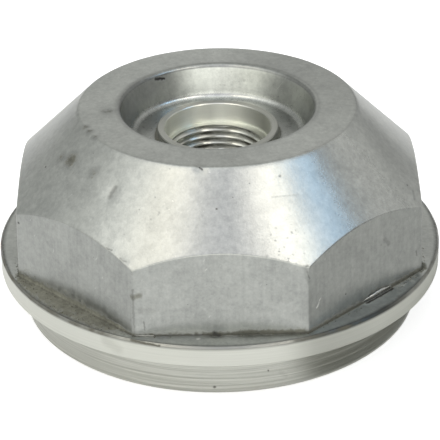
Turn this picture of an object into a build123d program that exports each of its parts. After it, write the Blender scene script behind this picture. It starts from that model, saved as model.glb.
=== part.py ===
from build123d import *
import os
from math import cos, radians, sin, tan

# Hub grease cap: one aluminium casting, turned on its flange, spigot and boss.
# It stands on the open end of its spigot, +Z up its axis, with one wrench flat towards -Y.
# All lengths are in millimetres and all angles in degrees.

# Heights, from the open end of the spigot
spigot_length = 12.5
flange_thickness = 6.0
cap_height = 58.6

# Boss in the middle, bored through and tapped M27 x 2
thread_minor_diameter = 24.84
thread_length = 12.4
thread_exit_chamfer = 1.0
counterbore_ledge = 2.18
counterbore_depth = 5.7
boss_wall = 2.1
boss_rise = 2.45
boss_root_chamfer = 0.5
boss_edge_chamfer = 0.25
boss_foot_wall = 6.08

# Round recess in the top, and the groove that it leaves round the boss
groove_width = 7.13
recess_depth = 9.05
recess_flare = 2.85
recess_mouth_radius = 1.5
recess_floor_radius = 2.0

# Flat top and conical shoulder
rim_width = 11.32
shoulder_angle = 45.0
top_edge_chamfer = 0.4

# Octagonal body for the wrench
flat_count = 8
across_flats = 110.0
flat_draft = 1.1
corner_radius = 0.8

# Spigot that screws into the hub, M110 x 2, and the flange that seats on the hub's face
spigot_diameter = 110.0
spigot_wall = 7.6
spigot_end_chamfer = 0.9
spigot_bore_chamfer = 0.6
flange_lip = 2.1
flange_top_chamfer = 0.5
flange_seat_chamfer = 0.3

# Wall of the casting and the core that leaves its hollow
wall = 6.5
core_draft = 1.0
core_chamfer = 1.2

# Diameters that follow, from the tapped hole outwards
counterbore_diameter = thread_minor_diameter + 2 * counterbore_ledge
boss_diameter = counterbore_diameter + 2 * boss_wall
boss_foot_diameter = thread_minor_diameter + 2 * boss_foot_wall
recess_floor_diameter = boss_diameter + 2 * groove_width
recess_mouth_diameter = recess_floor_diameter + 2 * recess_flare
top_diameter = recess_mouth_diameter + 2 * rim_width
across_corners = across_flats / cos(radians(180 / flat_count))
flange_diameter = max(across_corners, spigot_diameter) + 2 * flange_lip

# Heights that follow
flange_top = spigot_length + flange_thickness
recess_floor = cap_height - recess_depth
boss_top = recess_floor + boss_rise
thread_top = boss_top - counterbore_depth
boss_foot = thread_top - thread_length
ceiling = recess_floor - wall
pocket_top = cap_height - wall

# The core clears the spigot and the flats by one wall, then follows the shoulder one wall further in
shoulder_run = 1 / tan(radians(shoulder_angle))
shoulder_foot = top_diameter / 2 + (cap_height - flange_top) * shoulder_run
core_taper = tan(radians(core_draft))
core_mouth = min(spigot_diameter, across_flats) / 2 - spigot_wall
core_cone = top_diameter / 2 + cap_height * shoulder_run - wall / sin(radians(shoulder_angle))
knee_height = (core_cone - core_mouth) / (shoulder_run - core_taper)
pocket_outside = core_cone - pocket_top * shoulder_run
boss_inside = thread_minor_diameter / 2
recess_back = recess_floor_diameter / 2 + recess_flare * (recess_depth - wall) / recess_depth + wall

with BuildPart() as hub_cap:
    # Octagon with drafted flats and rounded corners
    with BuildSketch(Plane.XY.offset(flange_top)):
        RegularPolygon(across_flats / 2, flat_count, major_radius=False, rotation=180 / flat_count)
    extrude(amount=cap_height - flange_top, taper=flat_draft)
    ends = hub_cap.faces().filter_by(Plane.XY)
    fillet(hub_cap.edges() - ends.edges(), corner_radius)

    # The cone of the shoulder leaves a scalloped edge across every flat
    with BuildSketch(Plane.XZ):
        with BuildLine():
            Polyline(
                (0, flange_top),
                (shoulder_foot, flange_top),
                (top_diameter / 2, cap_height),
                (0, cap_height),
                close=True,
            )
        make_face()
    revolve(axis=Axis.Z, mode=Mode.INTERSECT)

    # Flange and spigot
    with BuildSketch(Plane.XZ):
        with BuildLine():
            Polyline(
                (0, 0),
                (spigot_diameter / 2, 0),
                (spigot_diameter / 2, spigot_length),
                (flange_diameter / 2, spigot_length),
                (flange_diameter / 2, flange_top),
                (0, flange_top),
                close=True,
            )
        make_face()
    revolve(axis=Axis.Z)

    # Recess in the top, cut round the boss
    with BuildSketch(Plane.XZ) as recess:
        with BuildLine():
            Polyline(
                (0, boss_top),
                (boss_diameter / 2, boss_top),
                (boss_diameter / 2, recess_floor),
                (recess_floor_diameter / 2, recess_floor),
                (recess_mouth_diameter / 2, cap_height),
                (0, cap_height),
                close=True,
            )
        make_face()
        fillet(recess.vertices().group_by(Axis.Y)[0].sort_by(Axis.X)[-1], recess_floor_radius)
        chamfer(recess.vertices().group_by(Axis.Y)[0].sort_by(Axis.X)[0], boss_root_chamfer)
    revolve(axis=Axis.Z, mode=Mode.SUBTRACT)

    # Hollow left by the core: one wall inside the shoulder, the recess and the boss
    with BuildSketch(Plane.XZ) as core:
        with BuildLine():
            Polyline(
                (0, 0),
                (core_mouth, 0),
                (core_mouth - knee_height * core_taper, knee_height),
                (pocket_outside, pocket_top),
                (0, pocket_top),
                close=True,
            )
        make_face()
        with BuildLine():
            Polyline(
                (0, ceiling),
                (recess_back - (pocket_top - ceiling) * core_taper, ceiling),
                (recess_back, pocket_top),
                (0, pocket_top),
                close=True,
            )
        make_face(mode=Mode.SUBTRACT)
        with BuildLine():
            Polyline(
                (0, boss_foot),
                (boss_foot_diameter / 2, boss_foot),
                (boss_foot_diameter / 2 + (ceiling - boss_foot) * core_taper, ceiling),
                (0, ceiling),
                close=True,
            )
        make_face(mode=Mode.SUBTRACT)
        corners = core.vertices().filter_by(lambda corner: boss_inside < corner.X < pocket_outside)
        chamfer(corners, core_chamfer)
    revolve(axis=Axis.Z, mode=Mode.SUBTRACT)

    # Tapped hole through the boss, opened out at its mouth
    with Locations((0, 0, boss_top)):
        CounterBoreHole(
            radius=boss_inside,
            counter_bore_radius=counterbore_diameter / 2,
            counter_bore_depth=counterbore_depth,
            depth=boss_top - boss_foot,
        )

    # Rounded edges of the casting and broken edges of the turned faces
    def rims(height):
        """The edges of the flat face at this height, from the shortest to the longest."""
        flat_faces = hub_cap.faces().filter_by(Plane.XY)
        face = flat_faces.sort_by(lambda candidate: abs(candidate.center().Z - height))[0]
        return face.edges().sort_by(SortBy.LENGTH)

    chamfer(rims(cap_height)[-1], top_edge_chamfer)
    fillet(rims(cap_height)[0], recess_mouth_radius)
    chamfer(rims(boss_top), boss_edge_chamfer)
    chamfer(rims(boss_foot)[0], thread_exit_chamfer)
    chamfer(rims(flange_top)[-1], flange_top_chamfer)
    chamfer(rims(spigot_length)[-1], flange_seat_chamfer)
    chamfer(rims(0)[-1], spigot_end_chamfer)
    chamfer(rims(0)[0], spigot_bore_chamfer)

hub_cap.part.label = "hub_cap"

os.makedirs("parts", exist_ok=True)
export_step(hub_cap.part, "parts/hub_cap.step")
print(f"hub_cap: {hub_cap.part.volume / 1000:.1f} cm3")
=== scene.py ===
# %% [markdown]
# # Hub grease cap
# The cap is one aluminium casting that screws onto a wheel hub and keeps its grease in. Most of it
# still has its cast skin, and only the faces that seal or carry a thread were turned on a lathe.
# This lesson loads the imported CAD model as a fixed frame, builds a finer cap over it with both
# threads cut, dresses it in its two finishes, and sets up the light and the camera.

# %% Load the frame
from math import cos, pi, radians, sin

import bpy
import numpy as np
from mathutils import Matrix, Vector


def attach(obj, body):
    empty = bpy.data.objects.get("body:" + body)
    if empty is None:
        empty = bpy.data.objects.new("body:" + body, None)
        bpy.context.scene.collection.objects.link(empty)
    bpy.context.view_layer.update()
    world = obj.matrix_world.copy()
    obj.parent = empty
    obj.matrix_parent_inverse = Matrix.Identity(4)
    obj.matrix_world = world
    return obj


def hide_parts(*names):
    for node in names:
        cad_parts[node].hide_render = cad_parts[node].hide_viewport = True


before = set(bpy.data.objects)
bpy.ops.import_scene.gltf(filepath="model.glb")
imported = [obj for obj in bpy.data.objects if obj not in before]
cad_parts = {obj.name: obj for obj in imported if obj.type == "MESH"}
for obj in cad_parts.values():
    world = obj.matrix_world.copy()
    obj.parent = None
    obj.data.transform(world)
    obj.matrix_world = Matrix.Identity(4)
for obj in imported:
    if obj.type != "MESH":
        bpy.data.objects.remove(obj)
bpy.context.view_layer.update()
MM = 0.001

# %% [markdown]
# ## The section of the cap
# A casting that is turned about its axis is best drawn as one closed line, its section, which the
# lathe would trace. Each point of the line becomes one row of the mesh, all the way round. Rows lie
# close together where a thread will be cut or an edge turns, and far apart on plain walls.
# A few rows don't stay where they are drawn: on the octagon's flats, the shoulder and the top of the
# flange, they say which surface they belong to, and the tree below works out their place.

# %% Sizes in millimetres, as in the part's source
FLATS = 8
ACROSS_FLATS = 110.0
FLAT_DRAFT = 1.1
CORNER_RADIUS = 0.8
SHOULDER_ANGLE = 45.0
CAP_HEIGHT = 58.6
TOP_RADIUS = 38.0
SHOULDER_TOP = 58.32
FLANGE_SEAT = 12.5
FLANGE_TOP = 18.5
FLANGE_LIP = 2.1
FLANGE_RADIUS = ACROSS_FLATS / 2 / cos(pi / FLATS) + FLANGE_LIP
SPIGOT_RADIUS = 55.0
RECESS_FLOOR = 49.55
BOSS_TOP = 52.0
BOSS_RADIUS = 16.7
COUNTERBORE_RADIUS = 14.6
LEDGE = 46.3
BORE_RADIUS = 12.42
BOSS_FOOT = 33.9
THREAD_PITCH = 2.0
print("flange radius", round(FLANGE_RADIUS, 2), "mm")

# %% How a row is written down
DRAWN, ON_FLAT, ON_SHOULDER, ON_FLANGE_TOP = range(4)
SPIGOT_THREAD, BOSS_THREAD = 1, 2
section = []


# A row's tone is partly painted light and shade: it darkens edges and fillets that would catch bright
# highlights, and brightens the deep counterbore
def row(
    radius, height, follows=DRAWN, share=0.0, lift=0.0, swell=0.0, turned=0, thread=0, tone=1.0, polish=0.0
):
    """One row: where it is drawn, the surface it follows and how far along, and its finish."""
    section.append((radius, height, follows, share, lift, swell, turned, thread, tone, polish))


def straight(start, end, count, **marks):
    """Rows from start towards end, spaced evenly and stopping one short of it."""
    for step in range(count):
        t = step / count
        row(start[0] + t * (end[0] - start[0]), start[1] + t * (end[1] - start[1]), **marks)


def arc(centre, radius, first, last, count, **marks):
    """Rows on an arc between two angles in degrees, stopping one short of the last."""
    for step in range(count):
        angle = radians(first + (last - first) * step / count)
        row(centre[0] + radius * cos(angle), centre[1] + radius * sin(angle), **marks)


# %% Spigot and flange, from the foot upwards
BORE_MOUTH = 48.0
SPIGOT_BREAK, SEAT_BREAK, RIM_BREAK = 0.9, 0.3, 0.5
foot_edge = (SPIGOT_RADIUS - SPIGOT_BREAK, 0.0)
spigot_foot = (SPIGOT_RADIUS, SPIGOT_BREAK)
spigot_top = (SPIGOT_RADIUS, FLANGE_SEAT)
seat_edge = (FLANGE_RADIUS - SEAT_BREAK, FLANGE_SEAT)
rim_foot = (FLANGE_RADIUS, FLANGE_SEAT + SEAT_BREAK)
rim_top = (FLANGE_RADIUS, FLANGE_TOP - RIM_BREAK)
strip_edge = (FLANGE_RADIUS - RIM_BREAK, FLANGE_TOP)
straight((BORE_MOUTH, 0.0), foot_edge, 3, turned=1)
straight(foot_edge, spigot_foot, 2, turned=1, tone=0.95, polish=0.7)
straight(spigot_foot, spigot_top, 48, turned=1, thread=SPIGOT_THREAD, tone=0.86)
straight(spigot_top, seat_edge, 4, turned=1)
straight(seat_edge, rim_foot, 1, turned=1)
straight(rim_foot, rim_top, 7, turned=1, tone=1.1, polish=0.85)
# Painted shade: the flange's top edge is darkened so that it mirrors less light
straight(rim_top, strip_edge, 2, turned=1, tone=0.45, polish=0.3)
row(*strip_edge, ON_FLANGE_TOP, share=1.0, turned=1, tone=0.45, polish=0.3)
for share in (0.8, 0.6, 0.4, 0.25, 0.12):
    row(*strip_edge, ON_FLANGE_TOP, share=share, tone=1.15)
# Painted shade, with the grime there: the last row on the flange, at the foot of the flats, is darkened where
# it would catch a highlight
row(*strip_edge, ON_FLANGE_TOP, swell=0.4, tone=0.5)
print("rows up to the top of the flange:", len(section))

# %% Flats and shoulder, with rows gathered at the scalloped edge between them
# Painted shade, with the grime there: the fillet rows at the foot of the flats are darkened where they would
# catch a highlight
row(0, 0, ON_FLAT, lift=0.12, swell=0.12, tone=0.45)
row(0, 0, ON_FLAT, lift=0.4, tone=0.7)
for share in np.linspace(0.07, 0.93, 14):
    row(0, 0, ON_FLAT, share=share)
for lift in (-0.8, -0.45, -0.22, -0.08):
    row(0, 0, ON_FLAT, share=1.0, lift=lift)
for lift in (0.08, 0.22, 0.45, 0.8):
    row(0, 0, ON_SHOULDER, lift=lift)
for share in np.linspace(0.08, 1.0, 22):
    row(0, 0, ON_SHOULDER, share=share)
print("rows up to the top edge:", len(section))

# %% Flat top, recess and boss
TOP_EDGE = (37.95, 58.53)
TOP_BREAK, BOSS_BREAK, ROOT_BREAK, THREAD_BREAK = 0.4, 0.25, 0.5, 1.0
MOUTH_CENTRE, MOUTH_ROUND = (27.78, 57.1), 1.5
WALL_TOP, WALL_FOOT, WALL_LEAN = (26.35, 57.55), (24.27, 50.95), 17.5
FLOOR_CENTRE, FLOOR_ROUND = (22.36, 51.55), 2.0
boss_root = (BOSS_RADIUS + ROOT_BREAK, RECESS_FLOOR)
boss_wall_foot = (BOSS_RADIUS, RECESS_FLOOR + ROOT_BREAK)
boss_wall_top = (BOSS_RADIUS, BOSS_TOP - BOSS_BREAK)
boss_rim = (BOSS_RADIUS - BOSS_BREAK, BOSS_TOP)
counterbore_rim = (COUNTERBORE_RADIUS + BOSS_BREAK, BOSS_TOP)
counterbore_top = (COUNTERBORE_RADIUS, BOSS_TOP - BOSS_BREAK)
counterbore_foot = (COUNTERBORE_RADIUS, LEDGE)
thread_top = (BORE_RADIUS, LEDGE)
thread_foot = (BORE_RADIUS, BOSS_FOOT + THREAD_BREAK)
thread_exit = (BORE_RADIUS + THREAD_BREAK, BOSS_FOOT)
row(*TOP_EDGE)
straight((TOP_RADIUS - TOP_BREAK, CAP_HEIGHT), (MOUTH_CENTRE[0], CAP_HEIGHT), 12)
arc(MOUTH_CENTRE, MOUTH_ROUND, 90, 180 - WALL_LEAN, 7, tone=0.8)
straight(WALL_TOP, WALL_FOOT, 12, tone=1.2, polish=0.4)
arc(FLOOR_CENTRE, FLOOR_ROUND, -WALL_LEAN, -90, 8, tone=1.2, polish=0.6)
straight((FLOOR_CENTRE[0], RECESS_FLOOR), boss_root, 5, tone=1.15, polish=0.5)
straight(boss_root, boss_wall_foot, 2)
straight(boss_wall_foot, boss_wall_top, 4, turned=1)
# Painted shade: the boss's rim and its two edges are darkened, so that the edges catch less light
straight(boss_wall_top, boss_rim, 1, turned=1, tone=0.7)
straight(boss_rim, counterbore_rim, 3, turned=1, tone=0.7, polish=0.5)
straight(counterbore_rim, counterbore_top, 1, turned=1, tone=0.7)
# Painted light: the counterbore and its ledge are brightened
straight(counterbore_top, counterbore_foot, 8, turned=1, tone=1.6, polish=1.0)
straight(counterbore_foot, thread_top, 4, turned=1, tone=1.55, polish=0.7)
straight(thread_top, thread_foot, 54, turned=1, thread=BOSS_THREAD, tone=1.1, polish=0.8)
straight(thread_foot, thread_exit, 2, turned=1)
print("rows up to the foot of the boss:", len(section))

# %% Hollow underside, back down to the foot of the spigot: radius, height and rows to the next point
HOLLOW = [
    (14.9, BOSS_FOOT, 2), (17.3, BOSS_FOOT, 1), (18.52, 35.1, 3), (18.64, 41.85, 1), (19.86, 43.05, 4),
    (29.77, 43.05, 1), (30.99, 44.25, 3), (31.11, 50.9, 1), (32.33, 52.1, 2), (35.31, 52.1, 5),
    (46.69, 40.72, 8), (47.39, 0.6, 1),
]
row(*thread_exit, turned=1)
for here, there in zip(HOLLOW, HOLLOW[1:]):
    straight(here, there, here[2])
row(*HOLLOW[-1][:2], turned=1)
print("rows in the whole section:", len(section))

# %% The section as a closed line of edges, with what each row says stored on its points
ROW_MARKS = (
    "section_radius", "section_height", "follows", "share", "lift", "swell",
    "turned", "thread", "tone", "polish",
)
IN_MILLIMETRES = {"section_radius", "section_height", "lift", "swell"}


def new_piece(name, points, edges=(), faces=()):
    """A mesh object made of these points, in metres, and linked to the scene."""
    mesh = bpy.data.meshes.new(name)
    mesh.from_pydata(points, edges, faces)
    piece = bpy.data.objects.new(name, mesh)
    bpy.context.scene.collection.objects.link(piece)
    return piece


def ring(count):
    """The edges that join this many points into a closed line."""
    return [(k, (k + 1) % count) for k in range(count)]


def store(mesh, name, values):
    """Keeps one number for each point of a mesh under this name."""
    if name not in mesh.attributes:
        mesh.attributes.new(name, "FLOAT", "POINT")
    mesh.attributes[name].data.foreach_set("value", values)


section_points = [(radius * MM, 0, height * MM) for radius, height, *rest in section]
cap = new_piece("hub_cap_finished", section_points, ring(len(section)))
for place, name in enumerate(ROW_MARKS):
    scale = MM if name in IN_MILLIMETRES else 1.0
    store(cap.data, name, [entry[place] * scale for entry in section])
print("section line:", len(section), "points")

# %% [markdown]
# ## Building a node tree in a script
# Every tree and every material in this lesson is built with one small function. It adds a node,
# applies its settings and fills its open inputs in order: a socket is linked, and a plain value is
# typed in. Two more helpers start a Geometry Nodes tree with named inputs and run it on a piece,
# finding each input by its socket's identifier, because names may repeat and identifiers don't.


# %% Node helper
def add(tree, kind, values=(), **settings):
    """Adds a node with its settings and inputs, and returns its outputs."""
    node = tree.nodes.new(kind)
    for name, value in settings.items():
        setattr(node, name, value)
    by_order = [socket for socket in node.inputs if socket.enabled]
    if isinstance(values, dict):
        pairs = [(node.inputs[name], value) for name, value in values.items()]
    else:
        pairs = list(zip(by_order, values))
    for socket, value in pairs:
        if isinstance(value, bpy.types.NodeSocket):
            tree.links.new(value, socket)
        elif value is not None:
            socket.default_value = value
    return node.outputs


# %% Tree helpers, and short names for the kinds of node that come up often
MATH = "ShaderNodeMath"
VECTOR = "ShaderNodeVectorMath"
RANGE = "ShaderNodeMapRange"
MIX = "ShaderNodeMix"
NOISE = "ShaderNodeTexNoise"
STORED = "GeometryNodeInputNamedAttribute"
MOVE = "GeometryNodeSetPosition"
REALIZE = "GeometryNodeRealizeInstances"
SET_MATERIAL = "GeometryNodeSetMaterial"
FLOAT = {"data_type": "FLOAT"}
SMOOTH = {"interpolation_type": "SMOOTHSTEP"}
# Kinds of row are whole numbers, so half a step tells them apart
SAME_KIND = 0.5
# A face takes the turned finish only where nearly all of it is turned
WHOLLY = 0.9


def new_tree(name, inputs):
    """An empty Geometry Nodes tree with these named inputs, and the sockets that give them."""
    tree = bpy.data.node_groups.new(name, "GeometryNodeTree")
    tree.interface.new_socket("Geometry", in_out="OUTPUT", socket_type="NodeSocketGeometry")
    tree.interface.new_socket("Geometry", in_out="INPUT", socket_type="NodeSocketGeometry")
    for label, kind in inputs.items():
        tree.interface.new_socket(label, in_out="INPUT", socket_type="NodeSocket" + kind)
    return tree, add(tree, "NodeGroupInput")


def run_tree(piece, tree, values):
    """Puts the tree on a piece as a modifier, with its inputs set before anything is evaluated."""
    modifier = piece.modifiers.new(tree.name, "NODES")
    modifier.node_group = tree
    for item in tree.interface.items_tree:
        if item.in_out == "INPUT" and item.name in values:
            modifier[item.identifier] = values[item.name]


print("node helpers ready")

# %% [markdown]
# ## The drafted octagon
# The wrench body is an octagon whose flats lean in by about a degree, so that the casting leaves its
# mould. The conical shoulder cuts it off, and because the cone is round and the flats are flat, the
# edge between them rises over the middle of each flat and dips at each corner. Modelling that edge by
# hand would be slow, and a boolean would leave ragged triangles. Here the section is swept round a
# circle, and a rule places every point: the angle comes from the column, crowded towards the corners,
# the flat's radius from that angle, and the scallop's height from where flat and cone meet.

# %% Tree: sweep the section and find the angle of each column
octagon, given = new_tree(
    "drafted_octagon",
    {
        "Columns": "Int",
        "Flats": "Int",
        "Across Flats": "Float",
        "Flat Draft": "Float",
        "Corner Radius": "Float",
        "Flange Top": "Float",
        "Top Radius": "Float",
        "Cap Height": "Float",
        "Shoulder Top": "Float",
        "Shoulder Slope": "Float",
        "Edge Softness": "Float",
        "Cast Wave": "Float",
        "Wave Size": "Float",
        "Cast Skin": "Material",
        "Turned Metal": "Material",
    },
)
index = add(octagon, "GeometryNodeInputIndex")[0]
circle = add(octagon, "GeometryNodeCurvePrimitiveCircle", {"Resolution": given["Columns"]})["Curve"]
path = add(
    octagon,
    "GeometryNodeStoreNamedAttribute",
    (circle, True, "column", index),
    **FLOAT,
    domain="POINT",
)[0]
profile = add(octagon, "GeometryNodeMeshToCurve", (given["Geometry"],))[0]
swept = add(octagon, "GeometryNodeCurveToMesh", (path, profile))[0]
stored = {}
for name in ("column", *ROW_MARKS):
    stored[name] = add(octagon, STORED, (name,), **FLOAT)[0]
per_flat = add(octagon, MATH, (given["Columns"], given["Flats"]), operation="DIVIDE")[0]
flat_turn = add(octagon, MATH, (stored["column"], per_flat), operation="DIVIDE")[0]
flat_number = add(octagon, MATH, (flat_turn,), operation="FLOOR")[0]
across = add(octagon, MATH, (flat_turn,), operation="FRACT")[0]
crowded = add(octagon, MATH, (across, pi, -pi / 2), operation="MULTIPLY_ADD")[0]
sideways = add(octagon, MATH, (crowded,), operation="SINE")[0]
half_flat = add(octagon, MATH, (pi, given["Flats"]), operation="DIVIDE")[0]
from_middle = add(octagon, MATH, (sideways, half_flat), operation="MULTIPLY")[0]
flat_angle = add(octagon, MATH, (half_flat, 2.0), operation="MULTIPLY")[0]
angle = add(octagon, MATH, (flat_number, flat_angle, from_middle), operation="MULTIPLY_ADD")[0]
print("octagon tree:", len(octagon.nodes), "nodes up to the angle")

# %% Tree: radius of a flat at its foot, with the corner rounded
apothem = add(octagon, MATH, (given["Across Flats"], 0.5), operation="MULTIPLY")[0]
cos_middle = add(octagon, MATH, (from_middle,), operation="COSINE")[0]
plain_foot = add(octagon, MATH, (apothem, cos_middle), operation="DIVIDE")[0]
inner = add(octagon, MATH, (apothem, given["Corner Radius"]), operation="SUBTRACT")[0]
cos_half = add(octagon, MATH, (half_flat,), operation="COSINE")[0]
round_centre = add(octagon, MATH, (inner, cos_half), operation="DIVIDE")[0]
off_middle = add(octagon, MATH, (from_middle,), operation="ABSOLUTE")[0]
to_corner = add(octagon, MATH, (half_flat, off_middle), operation="SUBTRACT")[0]
cos_corner = add(octagon, MATH, (to_corner,), operation="COSINE")[0]
sin_corner = add(octagon, MATH, (to_corner,), operation="SINE")[0]
side_step = add(octagon, MATH, (round_centre, sin_corner), operation="MULTIPLY")[0]
side_square = add(octagon, MATH, (side_step, side_step), operation="MULTIPLY")[0]
radius_square = add(octagon, MATH, (given["Corner Radius"], 2.0), operation="POWER")[0]
reach_square = add(octagon, MATH, (radius_square, side_square), operation="SUBTRACT")[0]
reach_clear = add(octagon, MATH, (reach_square, 0.0), operation="MAXIMUM")[0]
reach = add(octagon, MATH, (reach_clear,), operation="SQRT")[0]
round_foot = add(octagon, MATH, (round_centre, cos_corner, reach), operation="MULTIPLY_ADD")[0]
tan_middle = add(octagon, MATH, (off_middle,), operation="TANGENT")[0]
tan_half = add(octagon, MATH, (half_flat,), operation="TANGENT")[0]
flat_reach = add(octagon, MATH, (apothem, tan_middle), operation="MULTIPLY")[0]
flat_end = add(octagon, MATH, (inner, tan_half), operation="MULTIPLY")[0]
in_corner = add(octagon, MATH, (flat_reach, flat_end), operation="GREATER_THAN")[0]
foot = add(octagon, MIX, (in_corner, plain_foot, round_foot), **FLOAT)[0]
print("octagon tree:", len(octagon.nodes), "nodes up to the foot of the flats")

# %% Tree: height of the scalloped edge, then height and radius of every point
lean_tan = add(octagon, MATH, (given["Flat Draft"],), operation="TANGENT")[0]
lean = add(octagon, MATH, (lean_tan, cos_middle), operation="DIVIDE")[0]
slope_tan = add(octagon, MATH, (given["Shoulder Slope"],), operation="TANGENT")[0]
run = add(octagon, MATH, (1.0, slope_tan), operation="DIVIDE")[0]
cone_base = add(octagon, MATH, (given["Cap Height"], run, given["Top Radius"]), operation="MULTIPLY_ADD")[0]
flat_base = add(octagon, MATH, (given["Flange Top"], lean, foot), operation="MULTIPLY_ADD")[0]
apart = add(octagon, MATH, (cone_base, flat_base), operation="SUBTRACT")[0]
closing = add(octagon, MATH, (run, lean), operation="SUBTRACT")[0]
scallop = add(octagon, MATH, (apart, closing), operation="DIVIDE")[0]
on_flat = add(octagon, MATH, (stored["follows"], ON_FLAT, SAME_KIND), operation="COMPARE")[0]
on_shoulder = add(octagon, MATH, (stored["follows"], ON_SHOULDER, SAME_KIND), operation="COMPARE")[0]
on_flange = add(octagon, MATH, (stored["follows"], ON_FLANGE_TOP, SAME_KIND), operation="COMPARE")[0]
flat_height = add(octagon, MIX, (stored["share"], given["Flange Top"], scallop), **FLOAT)[0]
cone_height = add(octagon, MIX, (stored["share"], scallop, given["Shoulder Top"]), **FLOAT)[0]
low_height = add(octagon, MIX, (on_flat, stored["section_height"], flat_height), **FLOAT)[0]
any_height = add(octagon, MIX, (on_shoulder, low_height, cone_height), **FLOAT)[0]
height = add(octagon, MATH, (any_height, stored["lift"]), operation="ADD")[0]
lean_in = add(octagon, MATH, (height, lean), operation="MULTIPLY")[0]
flat_radius = add(octagon, MATH, (flat_base, lean_in), operation="SUBTRACT")[0]
cone_in = add(octagon, MATH, (height, run), operation="MULTIPLY")[0]
cone_radius = add(octagon, MATH, (cone_base, cone_in), operation="SUBTRACT")[0]
softened = (flat_radius, cone_radius, given["Edge Softness"])
body_radius = add(octagon, MATH, softened, operation="SMOOTH_MIN")[0]
flange_radius = add(octagon, MIX, (stored["share"], foot, stored["section_radius"]), **FLOAT)[0]
low_radius = add(octagon, MIX, (on_flange, stored["section_radius"], flange_radius), **FLOAT)[0]
on_body = add(octagon, MATH, (on_flat, on_shoulder), operation="ADD")[0]
any_radius = add(octagon, MIX, (on_body, low_radius, body_radius), **FLOAT)[0]
radius = add(octagon, MATH, (any_radius, stored["swell"]), operation="ADD")[0]
print("octagon tree:", len(octagon.nodes), "nodes up to height and radius")

# %% Tree: place the points, give the cast skin its slow waves, and set the two finishes
cos_angle = add(octagon, MATH, (angle,), operation="COSINE")[0]
sin_angle = add(octagon, MATH, (angle,), operation="SINE")[0]
x = add(octagon, MATH, (radius, cos_angle), operation="MULTIPLY")[0]
y = add(octagon, MATH, (radius, sin_angle), operation="MULTIPLY")[0]
place = add(octagon, "ShaderNodeCombineXYZ", (x, y, height))[0]
placed = add(octagon, MOVE, (swept, True, place))[0]
wave_scale = add(octagon, MATH, (1.0, given["Wave Size"]), operation="DIVIDE")[0]
waves = add(octagon, NOISE, {"Scale": wave_scale, "Detail": 2.0})[0]
wave_signed = add(octagon, MATH, (waves, 0.5), operation="SUBTRACT")[0]
cast_share = add(octagon, MATH, (1.0, stored["turned"]), operation="SUBTRACT")[0]
wave_cast = add(octagon, MATH, (wave_signed, cast_share), operation="MULTIPLY")[0]
wave_depth = add(octagon, MATH, (wave_cast, given["Cast Wave"]), operation="MULTIPLY")[0]
normal = add(octagon, "GeometryNodeInputNormal")[0]
wave_move = add(octagon, VECTOR, {0: normal, "Scale": wave_depth}, operation="SCALE")[0]
waved = add(octagon, MOVE, {"Geometry": placed, "Offset": wave_move})[0]
is_turned = add(octagon, "FunctionNodeCompare", (stored["turned"], WHOLLY), operation="GREATER_THAN")[0]
real = add(octagon, REALIZE, (waved,))[0]
skinned = add(octagon, SET_MATERIAL, (real, True, given["Cast Skin"]))[0]
finished = add(octagon, SET_MATERIAL, (skinned, is_turned, given["Turned Metal"]))[0]
add(octagon, "NodeGroupOutput", (finished,))
print("octagon tree:", len(octagon.nodes), "nodes in all")

# %% [markdown]
# ## The threads
# The spigot carries an M110 thread and the boss is tapped M27, both with a 2 mm pitch. A thread is one
# groove that climbs as it goes round, so it can be modelled as a coil that is cut away, or as a rule on
# points that are already there. The rule is lighter and never tears: each point of a threaded wall
# looks at its height and its angle, and where the two say groove, it moves in or out. One tree serves
# both threads, because a cut in the bore is only a cut in the spigot with its depth turned round.

# %% Tree: cut a thread into a wall
thread_tree, given = new_tree(
    "cut_thread",
    {
        "Thread": "Float",
        "Pitch": "Float",
        "Groove": "Float",
        "Crest Share": "Float",
        "Start": "Float",
        "End": "Float",
        "Fade": "Float",
        "Turned Metal": "Material",
    },
)
spot = add(thread_tree, "GeometryNodeInputPosition")[0]
spot_x, spot_y, spot_z = add(thread_tree, "ShaderNodeSeparateXYZ", (spot,))
bearing = add(thread_tree, MATH, (spot_y, spot_x), operation="ARCTAN2")[0]
turns = add(thread_tree, MATH, (bearing, 2 * pi), operation="DIVIDE")[0]
pitches = add(thread_tree, MATH, (spot_z, given["Pitch"]), operation="DIVIDE")[0]
climb = add(thread_tree, MATH, (pitches, turns), operation="SUBTRACT")[0]
half_way = add(thread_tree, MATH, (climb, 0.5), operation="PINGPONG")[0]
flank = add(thread_tree, MATH, (half_way, 2.0), operation="MULTIPLY")[0]
root_share = add(thread_tree, MATH, (1.0, given["Crest Share"]), operation="SUBTRACT")[0]
groove = add(thread_tree, RANGE, (flank, given["Crest Share"], root_share, 0.0, 1.0))[0]
start_in = add(thread_tree, MATH, (given["Start"], given["Fade"]), operation="ADD")[0]
end_in = add(thread_tree, MATH, (given["End"], given["Fade"]), operation="SUBTRACT")[0]
fade_start = add(thread_tree, RANGE, (spot_z, given["Start"], start_in, 0.0, 1.0))[0]
fade_end = add(thread_tree, RANGE, (spot_z, end_in, given["End"], 1.0, 0.0))[0]
which = add(thread_tree, STORED, ("thread",), **FLOAT)[0]
mine = add(thread_tree, MATH, (which, given["Thread"], SAME_KIND), operation="COMPARE")[0]
faded = add(thread_tree, MATH, (fade_start, fade_end), operation="MULTIPLY")[0]
shown = add(thread_tree, MATH, (faded, mine), operation="MULTIPLY")[0]
cut = add(thread_tree, MATH, (groove, shown), operation="MULTIPLY")[0]
depth = add(thread_tree, MATH, (cut, given["Groove"]), operation="MULTIPLY")[0]
level = add(thread_tree, "ShaderNodeCombineXYZ", (spot_x, spot_y, 0.0))[0]
outward = add(thread_tree, VECTOR, (level,), operation="NORMALIZE")[0]
shift = add(thread_tree, VECTOR, {0: outward, "Scale": depth}, operation="SCALE")[0]
cut_mesh = add(thread_tree, MOVE, {"Geometry": given["Geometry"], "Offset": shift})[0]
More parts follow.
